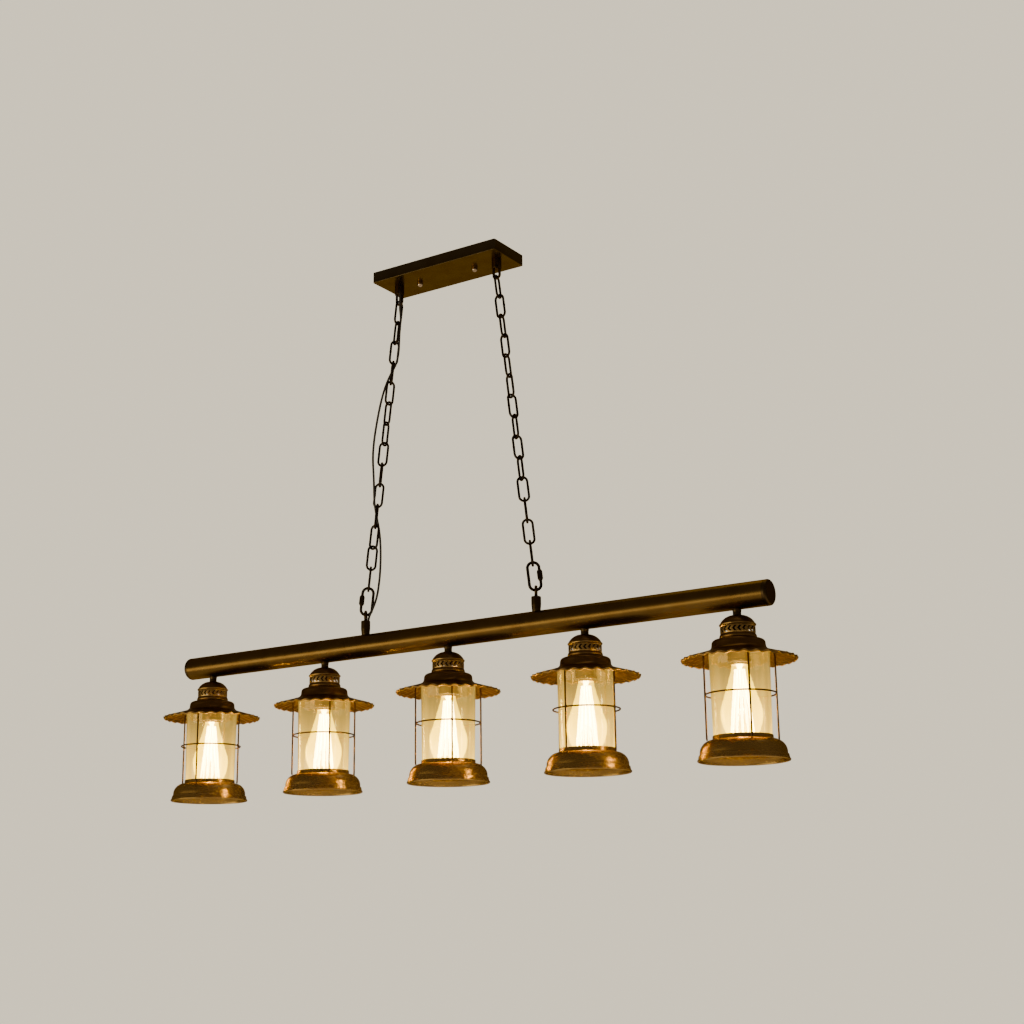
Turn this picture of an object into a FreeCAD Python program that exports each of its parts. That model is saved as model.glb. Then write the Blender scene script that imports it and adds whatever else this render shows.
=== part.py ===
import FreeCAD, Part
import math
import os

# A linear pendant light: five caged glass lanterns under one round bar, which hangs on two link chains
# from a flat ceiling canopy. Millimetres. The origin is the middle of the ceiling face, +X runs along
# the bar and +Z is up. Lantern and bar heights are measured from the bar's axis.

V = FreeCAD.Vector

# Whole light
BAR_LENGTH = 1196.0
BAR_RADIUS = 20.5
BAR_DROP = 680.0
LANTERN_PITCH = 270.0
LANTERN_COUNT = 5
CAGE_TURNS = (17.0, 50.0, 42.0, 84.0, 39.0)

# Canopy
CANOPY_LENGTH = 268.0
CANOPY_WIDTH = 92.0
CANOPY_DEPTH = 20.0
CANOPY_WALL = 1.5
LOOP_SPREAD = 107.3
STUD_SPREAD = 60.3
CEILING_HOLE_SPREAD = 44.45
CEILING_HOLE_RADIUS = 2.25
BRACKET_WIDTH = 24.0
BRACKET_SHEET = 2.0

# Chains
LINKS = 14
GAP = 0.5
CHAIN_WIRE = 4.2
CHAIN_INSIDE_WIDTH = 12.3
LOOP_WIRE = 4.8
LOOP_INSIDE_WIDTH = 7.6
LOOP_BOTTOM = 53.0
LOOP_BARREL_RADIUS = 8.6
LOOP_BARREL_HEIGHT = 15.0
BARREL_WALL = 1.4
BARREL_FLOOR = 4.0
BARREL_PLUG = 5.0
QUICK_WIRE = 5.0
QUICK_INSIDE_WIDTH = 14.3
QUICK_INSIDE_LENGTH = 43.0
QUICK_TURN = 33.0
EYE_WIRE = 5.2
EYE_BEND = 7.5
HANGER_SPREAD = 178.5
HANGER_PIVOT = 55.8
HANGER_TOP = 45.0
HANGER_ROOT = 6.0
HANGER_RADIUS = 8.2
HANGER_FOOT_RADIUS = 6.6
HANGER_NECK_RADIUS = 3.1
LEFT_TURNS = (88, -30, 72, -43, 78, -18, 98, 13, 123, 8, 123, 178, 60, 130)
RIGHT_TURNS = (98, -3, 98, -14, 93, -26, 69, -35, 62, -35, 33, 123, 33, 123)
SLEEVE_LENGTH = 18.0
SLEEVE_LIFT = 1.2
SLEEVE_FLATS = 8.2
QUICK_GAP = (5.2, 7.7)

# Threaded pieces, M10 x 1 lamp tube and its nuts
TUBE_RADIUS = 5.0
TUBE_BORE = 3.4
TUBE_HOLE = 5.1
NUT_FLATS = 14.0
NUT_HEIGHT = 5.0

# Power cord: height from the bar's axis, then its offset from the chain's line along the quick link's
# plane and across it. Each list lies on one moving body.
CORD_DIAMETER = 4.0
CORD_HOLE_RADIUS = 2.4
CORD_COLLAR = ((649.6, 1.0, -6.6), (638, 1.3, -6.8), (628.2, 1.4, -6.8))
CORD_TOP = ((625.8, 1.3, -6.6), (614, 2.7, -5.1), (602, 5.2, -1.6), (590.4, 5.5, -0.7))
CORD_MAIN = (
    (588.4, 5.5, -0.7), (572, 5.8, -0.8), (553, 7.2, -1.2), (534, 8.2, -1.6), (515, 6.6, -2.3),
    (499.5, -0.2, -0.2), (484, -6.4, 0.4), (462, -11.7, 0.1), (436, -15.4, 0.0), (404, -17.9, 0.0),
    (372, -19.4, 0.0), (341, -18.4, -0.2), (312, -13.8, -0.5), (284, -9.6, -2.0), (256, -6.1, -4.3),
    (232, 0.4, 0.0), (208, 7.6, 2.7), (181, 12.8, 1.4), (151, 16.2, 0.4), (123, 17.8, -0.4),
    (99.4, 17.3, -1.1),
)
CORD_LINK = ((97.4, 17.2, -1.2), (84, 16.0, -2.4), (71.5, 13.4, -4.1), (60.2, 9.8, -5.0))
CORD_TAIL = ((58.6, 9.2, -5.0), (52.0, 6.5, -4.1), (45.7, 5.2, -3.0), (40.4, 4.95, -2.6))
CORD_HOLE_AT_LOOP = (1.0, -6.6)
CORD_HOLE_AT_HANGER = (4.95, -2.65)

# Lantern
GLASS_FOOT_RADIUS = 43.9
GLASS_TOP_RADIUS = 46.3
GLASS_WALL = 2.2
GLASS_TOP = -85.6
LEDGE = -219.6
CAGE_RADIUS = 55.2
CAGE_WIRE = 3.0
CAGE_RING_HEIGHT = -150.0
CAGE_TOP = -88.6
CAGE_FOOT = -219.7
CAP_RADIUS = 13.05
SOCKET_CLEARANCE = 0.08
HOOD_TOP = -64.5
HOOD_SHEET = 1.3


def profile_face(steps):
    """Closed outline in the XZ plane. (r, z) ends a straight run, (rm, zm, r, z) an arc through (rm, zm)."""
    points = [V(step[-2], 0, step[-1]) for step in steps]
    edges = []
    for previous, step, point in zip([points[-1]] + points[:-1], steps, points):
        if len(step) == 4:
            edges.append(Part.Arc(previous, V(step[0], 0, step[1]), point).toShape())
        else:
            edges.append(Part.makeLine(previous, point))
    return Part.Face(Part.Wire(edges))


def pole_arc(radius, height, pole):
    """Middle point of the arc from (radius, height) to the axis at height pole, smooth at the axis."""
    centre = (pole ** 2 - height ** 2 - radius ** 2) / (2 * (pole - height))
    reach = pole - centre
    half = math.atan2(radius, (height - centre) * math.copysign(1, reach)) / 2
    return abs(reach) * math.sin(half), centre + reach * math.cos(half)


def turned(steps):
    """Solid of revolution about Z."""
    return profile_face(steps).revolve(V(0, 0, 0), V(0, 0, 1), 360)


def rod(radius, low, high, x=0.0, y=0.0):
    """Upright cylinder between two heights."""
    return Part.makeCylinder(radius, high - low, V(x, y, low))


def moved(shape, x=0.0, y=0.0, z=0.0):
    return shape.translated(V(x, y, z))


def copies(shape, places, z=0.0):
    """The same solid at several places along X."""
    return Part.makeCompound([moved(shape, x, 0, z) for x in places])


def one_solid(shape):
    """The single solid of a boolean result, with its split faces joined."""
    return shape.removeSplitter().Solids[0]


def hexagon(flats, low, high):
    """Hexagonal prism with two flats facing +Y and -Y."""
    corner = flats / math.sqrt(3)
    angles = [math.radians(60 * number) for number in range(7)]
    points = [V(corner * math.cos(angle), corner * math.sin(angle), low) for angle in angles]
    return Part.Face(Part.makePolygon(points)).extrude(V(0, 0, high - low))


def hex_nut(low):
    blank = hexagon(NUT_FLATS, low, low + NUT_HEIGHT)
    crown = turned([
        (0, low), (NUT_FLATS / 2, low), (NUT_FLATS / 2 + 1.2, low + 0.7),
        (NUT_FLATS / 2 + 1.2, low + NUT_HEIGHT - 0.7), (NUT_FLATS / 2, low + NUT_HEIGHT), (0, low + NUT_HEIGHT),
    ])
    return one_solid(blank.common(crown).cut(rod(TUBE_RADIUS + 0.05, low - 1, low + NUT_HEIGHT + 1)))


def oval_link(inside_length, inside_width, wire):
    """Oval ring of round wire in the XZ plane, centred on the origin with its length along Z."""
    bend = (inside_width + wire) / 2
    leg = (inside_length + wire) / 2 - bend
    pieces = []
    for end in (-1, 1):
        disc = Part.Face(Part.Wire(Part.makeCircle(wire / 2, V(bend, 0, end * leg))))
        pieces.append(disc.revolve(V(0, 0, end * leg), V(0, -end, 0), 180))
        if leg > 0:
            pieces.append(Part.makeCylinder(wire / 2, 2 * leg, V(end * bend, 0, -leg)))
    return one_solid(pieces[0].fuse(pieces[1:]))


def placed(shape, centre, along, turn):
    """Puts a solid's Z along a direction and its X as near as possible to a horizontal bearing in degrees."""
    side = V(math.cos(math.radians(turn)), math.sin(math.radians(turn)), 0)
    return shape.transformed(FreeCAD.Placement(centre, FreeCAD.Rotation(side, V(), along, "ZXY")).Matrix)


def hang(upper_wire, lower_wire):
    """Distance between the centres of two crossing wires that hang on each other."""
    return (upper_wire + lower_wire) / 2 + GAP


def cord_tube(points, name):
    """Round tube along straight runs joined by tangent arcs, each as large as its two runs allow."""
    edges = []
    radii = []
    start = points[0]
    for before, corner, after in zip(points, points[1:], points[2:]):
        incoming = (corner - before).normalize()
        outgoing = (after - corner).normalize()
        half_turn = incoming.getAngle(outgoing) / 2
        reach = 0.45 * min((corner - before).Length, (after - corner).Length)
        radius = reach / math.tan(half_turn)
        inward = (outgoing - incoming).normalize()
        middle = corner + inward * (radius / math.cos(half_turn) - radius)
        arc_start = corner - incoming * reach
        arc_end = corner + outgoing * reach
        edges.append(Part.LineSegment(start, arc_start).toShape())
        edges.append(Part.Arc(arc_start, middle, arc_end).toShape())
        radii.append(radius)
        start = arc_end
    edges.append(Part.LineSegment(start, points[-1]).toShape())
    path = Part.Wire(edges)
    section = Part.Wire(Part.makeCircle(CORD_DIAMETER / 2, points[0], points[1] - points[0]))
    tube = path.makePipeShell([section], True, False)
    expected = math.pi * CORD_DIAMETER ** 2 / 4 * path.Length
    print(name, "length %.1f" % path.Length, "volume ratio %.4f" % (tube.Volume / expected),
          "radii", [round(radius) for radius in radii])
    return tube


def chain_line(side):
    """The chain's upper pivot, its lower pivot and the unit direction down it. side is -1 left, 1 right."""
    top = V(side * LOOP_SPREAD, 0, -LOOP_BOTTOM)
    bottom = V(side * HANGER_SPREAD, 0, HANGER_PIVOT - BAR_DROP)
    return top, bottom, (bottom - top).normalize()


def link_inside_length():
    """Inside length that makes the links fill the chain from pivot to pivot."""
    top, bottom, _ = chain_line(1)
    upper_end = CHAIN_WIRE - hang(LOOP_WIRE, CHAIN_WIRE)
    lower_end = QUICK_INSIDE_LENGTH + QUICK_WIRE - hang(CHAIN_WIRE, QUICK_WIRE)
    ends = upper_end + lower_end
    return ((bottom - top).Length - ends + (LINKS - 1) * GAP) / LINKS


def chain_links(side, turns):
    """All plain links of one chain, from the top, as separate solids."""
    top, _, down = chain_line(side)
    inside = link_inside_length()
    link = oval_link(inside, CHAIN_INSIDE_WIDTH, CHAIN_WIRE)
    first = (inside + CHAIN_WIRE) / 2 - hang(LOOP_WIRE, CHAIN_WIRE)
    places = [top + down * (first + number * (inside - GAP)) for number in range(LINKS)]
    return [placed(link, place, down * -1, turn) for place, turn in zip(places, turns)]


def quick_link(side):
    """Screw link at the chain's lower end: an oval of wire with a gap in one leg, and its sleeve."""
    _, bottom, down = chain_line(side)
    bend = (QUICK_INSIDE_WIDTH + QUICK_WIRE) / 2
    centre = bottom - down * ((QUICK_INSIDE_LENGTH + QUICK_WIRE) / 2)
    oval = oval_link(QUICK_INSIDE_LENGTH, QUICK_INSIDE_WIDTH, QUICK_WIRE)
    body = oval.cut(rod(QUICK_WIRE, QUICK_GAP[0], QUICK_GAP[1], side * bend)).Solids[0]
    half = SLEEVE_LENGTH / 2
    bore = QUICK_WIRE / 2 + 0.06
    taper = turned([
        (bore, -half), (3.4, -half), (4.7, 3 - half), (4.7, half - 3), (3.4, half), (bore, half),
    ])
    sleeve = moved(one_solid(taper.common(hexagon(SLEEVE_FLATS, -half, half))), side * bend, 0, SLEEVE_LIFT)
    return [placed(shape, centre, down * -1, QUICK_TURN) for shape in (body, sleeve)]


def turned_offset(along, across):
    """Row X and Y of an offset along and across the quick link's plane."""
    turn = math.radians(QUICK_TURN)
    return along * math.cos(turn) - across * math.sin(turn), along * math.sin(turn) + across * math.cos(turn)


def cord_points(route):
    """Points of the left chain's cord in the row frame. Past the pivots the offsets are from a plumb line."""
    top, bottom, _ = chain_line(-1)
    points = []
    for height, along, across in route:
        z = height - BAR_DROP
        fraction = min(max((top.z - z) / (top.z - bottom.z), 0), 1)
        x, y = turned_offset(along, across)
        points.append(V(top.x + fraction * (bottom.x - top.x) + x, y, z))
    return points


def loop_barrel(height, top_radius, bottom_radius, plug):
    """Barrel that hangs from z = 0, tapered over its first half, hollow between plug and floor."""
    shell = turned([
        (0, 0), (top_radius, 0), (bottom_radius, -0.55 * height), (bottom_radius, 1 - height),
        (bottom_radius - 0.3, 0.3 - height, bottom_radius - 1.0, -height), (0, -height),
    ])
    return shell.cut(rod(min(top_radius, bottom_radius) - BARREL_WALL, BARREL_FLOOR - height, -plug))


def cord_hole(height, x, y):
    """Hole for the cord through the floor of a barrel of that height."""
    return rod(CORD_HOLE_RADIUS, -height - 1, BARREL_FLOOR + 1 - height, x, y)


def canopy_cover():
    half_length = CANOPY_LENGTH / 2
    half_width = CANOPY_WIDTH / 2
    outer = Part.makeBox(CANOPY_LENGTH, CANOPY_WIDTH, CANOPY_DEPTH, V(-half_length, -half_width, -CANOPY_DEPTH))
    upright = [edge for edge in outer.Edges if abs(edge.Vertexes[0].Z - edge.Vertexes[-1].Z) > 1]
    outer = outer.makeFillet(3.0, upright)
    rim = [edge for edge in outer.Edges if edge.BoundBox.ZMax < 1 - CANOPY_DEPTH]
    outer = outer.makeFillet(1.2, rim)
    inner = Part.makeBox(
        CANOPY_LENGTH - 2 * CANOPY_WALL, CANOPY_WIDTH - 2 * CANOPY_WALL, CANOPY_DEPTH,
        V(CANOPY_WALL - half_length, CANOPY_WALL - half_width, CANOPY_WALL - CANOPY_DEPTH))
    inner = inner.makeFillet(1.8, [e for e in inner.Edges if abs(e.Vertexes[0].Z - e.Vertexes[-1].Z) > 1])
    holes = []
    for side in (-1, 1):
        holes.append(rod(2.3, -CANOPY_DEPTH - 1, 1 - CANOPY_DEPTH + CANOPY_WALL, side * STUD_SPREAD))
        holes.append(rod(TUBE_HOLE, -CANOPY_DEPTH - 1, 1 - CANOPY_DEPTH + CANOPY_WALL, side * LOOP_SPREAD))
    return outer.cut([inner] + holes)


def mounting_bracket():
    """Steel strip, flat on the ceiling in the middle and stepped down at both ends for the stud heads."""
    t = BRACKET_SHEET
    side = [(50, 0), (54, -6), (76, -6), (76, -6 - t), (52.8, -6 - t), (48.8, -t)]
    steps = side + [(-x, z) for x, z in reversed(side)]
    strip = profile_face(steps).extrude(V(0, BRACKET_WIDTH, 0))
    strip = moved(strip, 0, -BRACKET_WIDTH / 2)
    holes = []
    for end in (-1, 1):
        holes.append(rod(CEILING_HOLE_RADIUS, -20, 5, end * CEILING_HOLE_SPREAD))
        holes.append(rod(2.1, -20, 5, end * STUD_SPREAD))
    return strip.cut(holes)


def bracket_studs():
    stud = one_solid(hexagon(7.0, -6, -3.2).fuse(rod(2.0, -28.0, -6)))
    return copies(stud, (-STUD_SPREAD, STUD_SPREAD))


def cap_nuts():
    """Ball nuts that clamp the cover against the ceiling."""
    low = -CANOPY_DEPTH
    ball = turned([
        (2.05, low), (4.9, low), (5.3, low - 0.8), (5.3, low - 4.0),
        (*pole_arc(5.3, low - 4.0, low - 9.3), 0, low - 9.3), (0, low - 8.4), (2.05, low - 8.4),
    ])
    return copies(ball, (-STUD_SPREAD, STUD_SPREAD))


def canopy_loops():
    """Barrel and oval loop under the canopy, one for each chain, on a hollow threaded tube."""
    height = LOOP_BARREL_HEIGHT
    inside = LOOP_BOTTOM - LOOP_WIRE / 2 - CANOPY_DEPTH - height
    loop_length = inside + 2.0
    loop = oval_link(loop_length, LOOP_INSIDE_WIDTH, LOOP_WIRE)
    loop = moved(loop, 0, 0, CANOPY_DEPTH - LOOP_BOTTOM + (loop_length + LOOP_WIRE) / 2)
    barrel = loop_barrel(height, LOOP_BARREL_RADIUS, LOOP_BARREL_RADIUS, BARREL_PLUG)
    tube = rod(TUBE_RADIUS, -7, 8.5)
    bore = rod(TUBE_BORE, BARREL_FLOOR - height, 9)
    hole = cord_hole(height, *turned_offset(*CORD_HOLE_AT_LOOP))
    solid = one_solid(barrel.fuse([loop, tube]).cut([bore, hole]))
    return copies(solid, (-LOOP_SPREAD, LOOP_SPREAD), -CANOPY_DEPTH)


def terminal_block():
    block = Part.makeBox(34, 18, 12, V(-17, -9, -BRACKET_SHEET - 12))
    entries = [Part.makeCylinder(1.6, 40, V(-20, y, -9), V(1, 0, 0)) for y in (-5, 0, 5)]
    screws = [rod(1.8, -15, -11.5, x, y) for x in (-11, 11) for y in (-5, 0, 5)]
    return block.cut(entries + screws)


def supply_wiring():
    """Two conductors from the terminal block to the left loop's tube."""
    wires = []
    for side in (-1, 1):
        points = [
            V(-14, side * 5, -9), V(-34, side * 5.6, -9.6), V(-58, side * 7.0, -11.5), V(-80, side * 6.0, -11),
            V(-97, side * 3.2, -8.5), V(-104, side * 1.7, -5.9), V(-107.0, side * 1.4, -8.2),
            V(-107.3, side * 1.5, -13.5),
        ]
        wires.append(cord_like_wire(points, 0.9))
    return Part.makeCompound(wires)


def cord_like_wire(points, radius):
    """Plain insulated conductor along straight runs with ball corners."""
    pieces = [Part.makeSphere(radius, point) for point in points[1:-1]]
    for start, end in zip(points, points[1:]):
        pieces.append(Part.makeCylinder(radius, (end - start).Length, start, end - start))
    return one_solid(pieces[0].fuse(pieces[1:]))


def lantern_places():
    first = -LANTERN_PITCH * (LANTERN_COUNT - 1) / 2
    return [first + LANTERN_PITCH * number for number in range(LANTERN_COUNT)]


def along_bar(shape):
    """Turns a solid made about Z so that it lies along X."""
    return shape.transformed(FreeCAD.Placement(V(), FreeCAD.Rotation(V(0, 1, 0), 90)).Matrix)


def bar_tube():
    half = BAR_LENGTH / 2 - 8
    tube = along_bar(rod(BAR_RADIUS, -half, half).cut(rod(BAR_RADIUS - 1.5, -half, half)))
    holes = [rod(TUBE_HOLE, -30, 0, x) for x in lantern_places()]
    holes += [rod(TUBE_HOLE, 0, 30, side * HANGER_SPREAD) for side in (-1, 1)]
    return tube.cut(holes)


def bar_end_caps():
    """Pressed cap with a rounded edge and a skirt inside the tube."""
    r = BAR_RADIUS
    cap = turned([
        (0, 0), (r - 4.5, 0), (r - 1.3, -1.3, r, -4.5), (r, -8), (r - 1.6, -8),
        (r - 1.6, -18), (r - 3.0, -18), (r - 3.0, -2), (0, -2),
    ])
    right = moved(along_bar(cap), BAR_LENGTH / 2)
    left = right.transformed(FreeCAD.Placement(V(), FreeCAD.Rotation(V(0, 0, 1), 180)).Matrix)
    return Part.makeCompound([right, left])


def bar_hangers():
    """Upright barrel with an eye on top, saddled on the bar and held by a hollow threaded tube."""
    height = HANGER_TOP - BAR_RADIUS + HANGER_ROOT
    eye_centre = HANGER_PIVOT + hang(QUICK_WIRE, EYE_WIRE) - EYE_BEND
    x, y = turned_offset(*CORD_HOLE_AT_HANGER)
    barrel = loop_barrel(height, HANGER_FOOT_RADIUS, HANGER_RADIUS, HANGER_ROOT + BARREL_PLUG)
    barrel = barrel.cut(cord_hole(height, x, -y))
    upended = FreeCAD.Placement(V(0, 0, HANGER_TOP - height), FreeCAD.Rotation(V(1, 0, 0), 180))
    barrel = barrel.transformed(upended.Matrix)
    eye = Part.makeTorus(EYE_BEND, EYE_WIRE / 2, V(0, 0, 0), V(1, 0, 0))
    eye = placed(eye, V(0, 0, eye_centre), V(0, 0, 1), QUICK_TURN)
    neck = rod(HANGER_NECK_RADIUS, HANGER_TOP - 1.5, HANGER_TOP + 2)
    bar = along_bar(rod(BAR_RADIUS, -40, 40))
    hanger = barrel.cut(bar).fuse([eye, neck, rod(TUBE_RADIUS, 10.5, 27)])
    hanger = one_solid(hanger.cut(rod(TUBE_BORE, 9, HANGER_TOP - BARREL_FLOOR)))
    return copies(hanger, (-HANGER_SPREAD, HANGER_SPREAD))


def lantern_stems():
    """Hollow threaded tube with a turned collar between the bar and the vent cap."""
    collar = turned([(0, -15), (6.9, -15), (6.9, -22), (6.5, -24), (6.6, -29), (0, -29)])
    bar = along_bar(rod(BAR_RADIUS, -40, 40))
    stem = collar.cut(bar).fuse(rod(TUBE_RADIUS, -73, -10.5)).cut(rod(TUBE_BORE, -74, -9))
    return copies(one_solid(stem), lantern_places())


def bar_nuts():
    """Lock nuts inside the bar."""
    inside_wall = BAR_RADIUS - 1.5
    seat = math.sqrt(inside_wall ** 2 - (NUT_FLATS / 2) ** 2) - 0.1
    nuts = [moved(hex_nut(-seat), x) for x in lantern_places()]
    nuts += [moved(hex_nut(seat - NUT_HEIGHT), side * HANGER_SPREAD) for side in (-1, 1)]
    return Part.makeCompound(nuts)


def bar_wiring():
    """Two conductors along the bar with a drop into every lantern and a riser into the left hanger."""
    wires = []
    places = lantern_places()
    for y in (-1.7, 1.7):
        bus = Part.makeCylinder(1.2, places[-1] - places[0], V(places[0], y, 4), V(1, 0, 0))
        drops = [rod(0.9, -71, 4.5, x, y) for x in places]
        riser = rod(0.9, 3.5, 37, -HANGER_SPREAD, y)
        wires.append(one_solid(bus.fuse(drops + [riser])))
    return Part.makeCompound(wires)


def vent_cap():
    """Domed cap with a straight band below its lip."""
    return turned([
        (5.2, -29), (7.4, -29), (20.2, -34.2, 27.8, -43.8), (27.8, -45.4), (26.6, -46.8), (26.6, -58.4),
        (27.8, -60.2), (27.8, HOOD_TOP), (26.4, HOOD_TOP), (26.4, -60.8), (25.3, -59.0), (25.3, -46.4),
        (26.4, -45.0), (26.4, -44.2), (19.4, -35.4, 7.2, -30.4), (5.2, -30.4),
    ])


def hood():
    """Rounded shoulder and wide flared brim, with a flat top under the vent cap."""
    return turned([
        (5.2, HOOD_TOP), (28.2, HOOD_TOP), (36.5, -67.4), (39.9, -69.8, 41.0, -73.6), (41.6, -78.6),
        (45.6, -83.0, 52.0, -85.6), (87.5, -97.4), (87.2, -98.6), (52.0, -86.9),
        (44.9, -84.1, 40.4, -79.0), (39.7, -74.0), (38.9, -70.8, 36.0, -68.7),
        (28.0, HOOD_TOP - HOOD_SHEET), (5.2, HOOD_TOP - HOOD_SHEET),
    ])


def cage():
    """Four upright wires welded to one ring."""
    ring = Part.makeTorus(CAGE_RADIUS - CAGE_WIRE / 2 - 0.1, CAGE_WIRE / 2 - 0.15, V(0, 0, CAGE_RING_HEIGHT))
    uprights = []
    for quarter in range(4):
        angle = math.radians(90 * quarter)
        x = CAGE_RADIUS * math.cos(angle)
        y = CAGE_RADIUS * math.sin(angle)
        uprights.append(rod(CAGE_WIRE / 2, CAGE_FOOT, CAGE_TOP, x, y))
    return one_solid(ring.fuse(uprights))


def glass():
    """Clear chimney, a little wider at the top."""
    return turned([
        (GLASS_FOOT_RADIUS - GLASS_WALL, LEDGE), (GLASS_FOOT_RADIUS, LEDGE),
        (GLASS_TOP_RADIUS, GLASS_TOP), (GLASS_TOP_RADIUS - GLASS_WALL, GLASS_TOP),
    ])


def base():
    """Spun ring, open below: a collar and ledge for the glass, a convex shoulder, a groove, a rolled lip."""
    return turned([
        (44.3, -212.4), (45.5, -212.4), (45.7, -217.4), (46.3, -218.9, 47.6, -219.3), (52.6, -219.5),
        (61.2, -225.6, 65.4, -236.0), (65.5, -239.6), (67.2, -241.2), (68.3, -246.8),
        (69.6, -249.2, 68.4, -250.4), (66.9, -249.6), (65.8, -242.2), (64.1, -240.4), (64.0, -236.4),
        (60.1, -226.6, 52.2, -220.9), (40.6, -220.9), (40.6, LEDGE), (44.3, LEDGE),
    ])


def lamp_socket():
    """Screw lamp holder on the end of the stem."""
    bore = CAP_RADIUS + SOCKET_CLEARANCE
    return turned([
        (TUBE_RADIUS + 0.05, -65.9), (12.0, -65.9), (17.2, -71.0), (17.2, -99.0), (18.4, -99.8),
        (18.4, -103.0), (bore, -103.0), (bore, -79.0), (TUBE_RADIUS + 0.05, -79.0),
    ])


def bulb():
    """Filament lamp with a teardrop envelope: a metal screw cap and a thin glass envelope."""
    neck = CAP_RADIUS - 0.65
    cap = turned([
        (0, -79.4), (4.4, -79.4), (5.0, -81.4), (11.8, -83.4), (CAP_RADIUS, -85.0), (CAP_RADIUS, -106.6),
        (neck, -106.6), (neck, -86.0), (0, -83.0),
    ])
    envelope = turned([
        (neck, -93), (neck, -109), (20.0, -136.0, 28.4, -162.0), (32.0, -181.0, 27.4, -200.0),
        (*pole_arc(27.4, -200.0, -219.0), 0, -219.0), (0, -218.2), (*pole_arc(26.7, -199.6, -218.2), 26.7, -199.6),
        (31.2, -181.0, 27.7, -162.3), (19.3, -136.3, neck - 0.8, -109.2), (neck - 0.8, -93),
    ])
    return Part.makeCompound([cap, envelope])


def build_nodes():
    """Every node's shape in the row frame, by name."""
    nodes = {
        "canopy_cover": canopy_cover(),
        "mounting_bracket": mounting_bracket(),
        "bracket_studs": bracket_studs(),
        "cap_nuts": cap_nuts(),
        "canopy_loops": canopy_loops(),
        "loop_nuts": copies(hex_nut(CANOPY_WALL - CANOPY_DEPTH), (-LOOP_SPREAD, LOOP_SPREAD)),
        "terminal_block": terminal_block(),
        "supply_wiring": supply_wiring(),
    }
    for name, side, turns in (("left", -1, LEFT_TURNS), ("right", 1, RIGHT_TURNS)):
        links = chain_links(side, turns)
        body, sleeve = quick_link(side)
        nodes[name + "_top_link"] = links[0]
        nodes[name + "_chain"] = Part.makeCompound(links[1:])
        nodes[name + "_quick_link"] = body
        nodes[name + "_link_sleeve"] = sleeve
    cords = (
        ("power_cord_collar", CORD_COLLAR), ("power_cord_top", CORD_TOP), ("power_cord", CORD_MAIN),
        ("power_cord_link", CORD_LINK), ("power_cord_tail", CORD_TAIL),
    )
    for name, route in cords:
        nodes[name] = cord_tube(cord_points(route), name)
    on_bar = {
        "bar_tube": bar_tube(),
        "bar_end_caps": bar_end_caps(),
        "bar_hangers": bar_hangers(),
        "bar_nuts": bar_nuts(),
        "bar_wiring": bar_wiring(),
        "lantern_stems": lantern_stems(),
        "lamp_sockets": copies(lamp_socket(), lantern_places()),
    }
    pieces = {
        "vent_cap": vent_cap(),
        "hood": hood(),
        "cage": cage(),
        "glass": glass(),
        "base": base(),
        "bulb": bulb(),
    }
    for number, (x, turn) in enumerate(zip(lantern_places(), CAGE_TURNS), 1):
        for name, shape in pieces.items():
            piece = shape.copy()
            if name == "cage":
                piece.rotate(V(0, 0, 0), V(0, 0, 1), turn)
            on_bar["lantern_%d_%s" % (number, name)] = moved(piece, x)
    for name, shape in on_bar.items():
        nodes[name] = moved(shape, 0, 0, -BAR_DROP)
    return nodes


os.makedirs("parts", exist_ok=True)
print("link inside length %.2f" % link_inside_length())
for node, shape in build_nodes().items():
    if not shape.isValid():
        raise ValueError("invalid shape: " + node)
    shape.exportStep("parts/%s.step" % node)
    print("%-24s solids %2d volume %.0f" % (node, len(shape.Solids), shape.Volume))
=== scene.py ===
"""A linear pendant light with five caged glass lanterns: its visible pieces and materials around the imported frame.

Metres, +Z up, +X along the bar. Lantern outlines are in millimetres, as (radius, height above the bar's axis).
"""

import math

import bmesh
import bpy
import numpy as np
from mathutils import Matrix, Vector


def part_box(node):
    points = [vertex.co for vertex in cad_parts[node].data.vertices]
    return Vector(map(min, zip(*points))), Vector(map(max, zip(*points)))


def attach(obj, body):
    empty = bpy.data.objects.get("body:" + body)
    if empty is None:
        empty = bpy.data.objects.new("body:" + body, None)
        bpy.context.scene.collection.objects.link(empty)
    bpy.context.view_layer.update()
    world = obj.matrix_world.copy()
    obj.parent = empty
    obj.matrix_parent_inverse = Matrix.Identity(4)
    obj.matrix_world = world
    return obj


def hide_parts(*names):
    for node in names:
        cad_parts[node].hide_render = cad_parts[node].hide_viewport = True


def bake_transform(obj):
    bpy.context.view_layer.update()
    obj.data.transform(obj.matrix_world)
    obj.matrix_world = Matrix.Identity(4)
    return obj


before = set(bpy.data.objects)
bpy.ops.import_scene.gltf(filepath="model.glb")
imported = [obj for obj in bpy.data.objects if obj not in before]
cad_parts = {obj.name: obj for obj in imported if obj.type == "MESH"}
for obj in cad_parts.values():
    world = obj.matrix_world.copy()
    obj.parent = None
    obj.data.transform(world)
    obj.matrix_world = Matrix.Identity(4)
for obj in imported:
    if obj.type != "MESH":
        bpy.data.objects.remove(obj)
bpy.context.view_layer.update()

MM = 0.001
TURN = 2 * math.pi


def middle(node):
    """The middle of a CAD node's box."""
    low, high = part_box(node)
    return (low + high) / 2


AXIS_Z = middle("bar_tube").z
LANTERNS = range(1, 6)
LANTERN_X = {number: middle(f"lantern_{number}_glass").x for number in LANTERNS}

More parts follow.
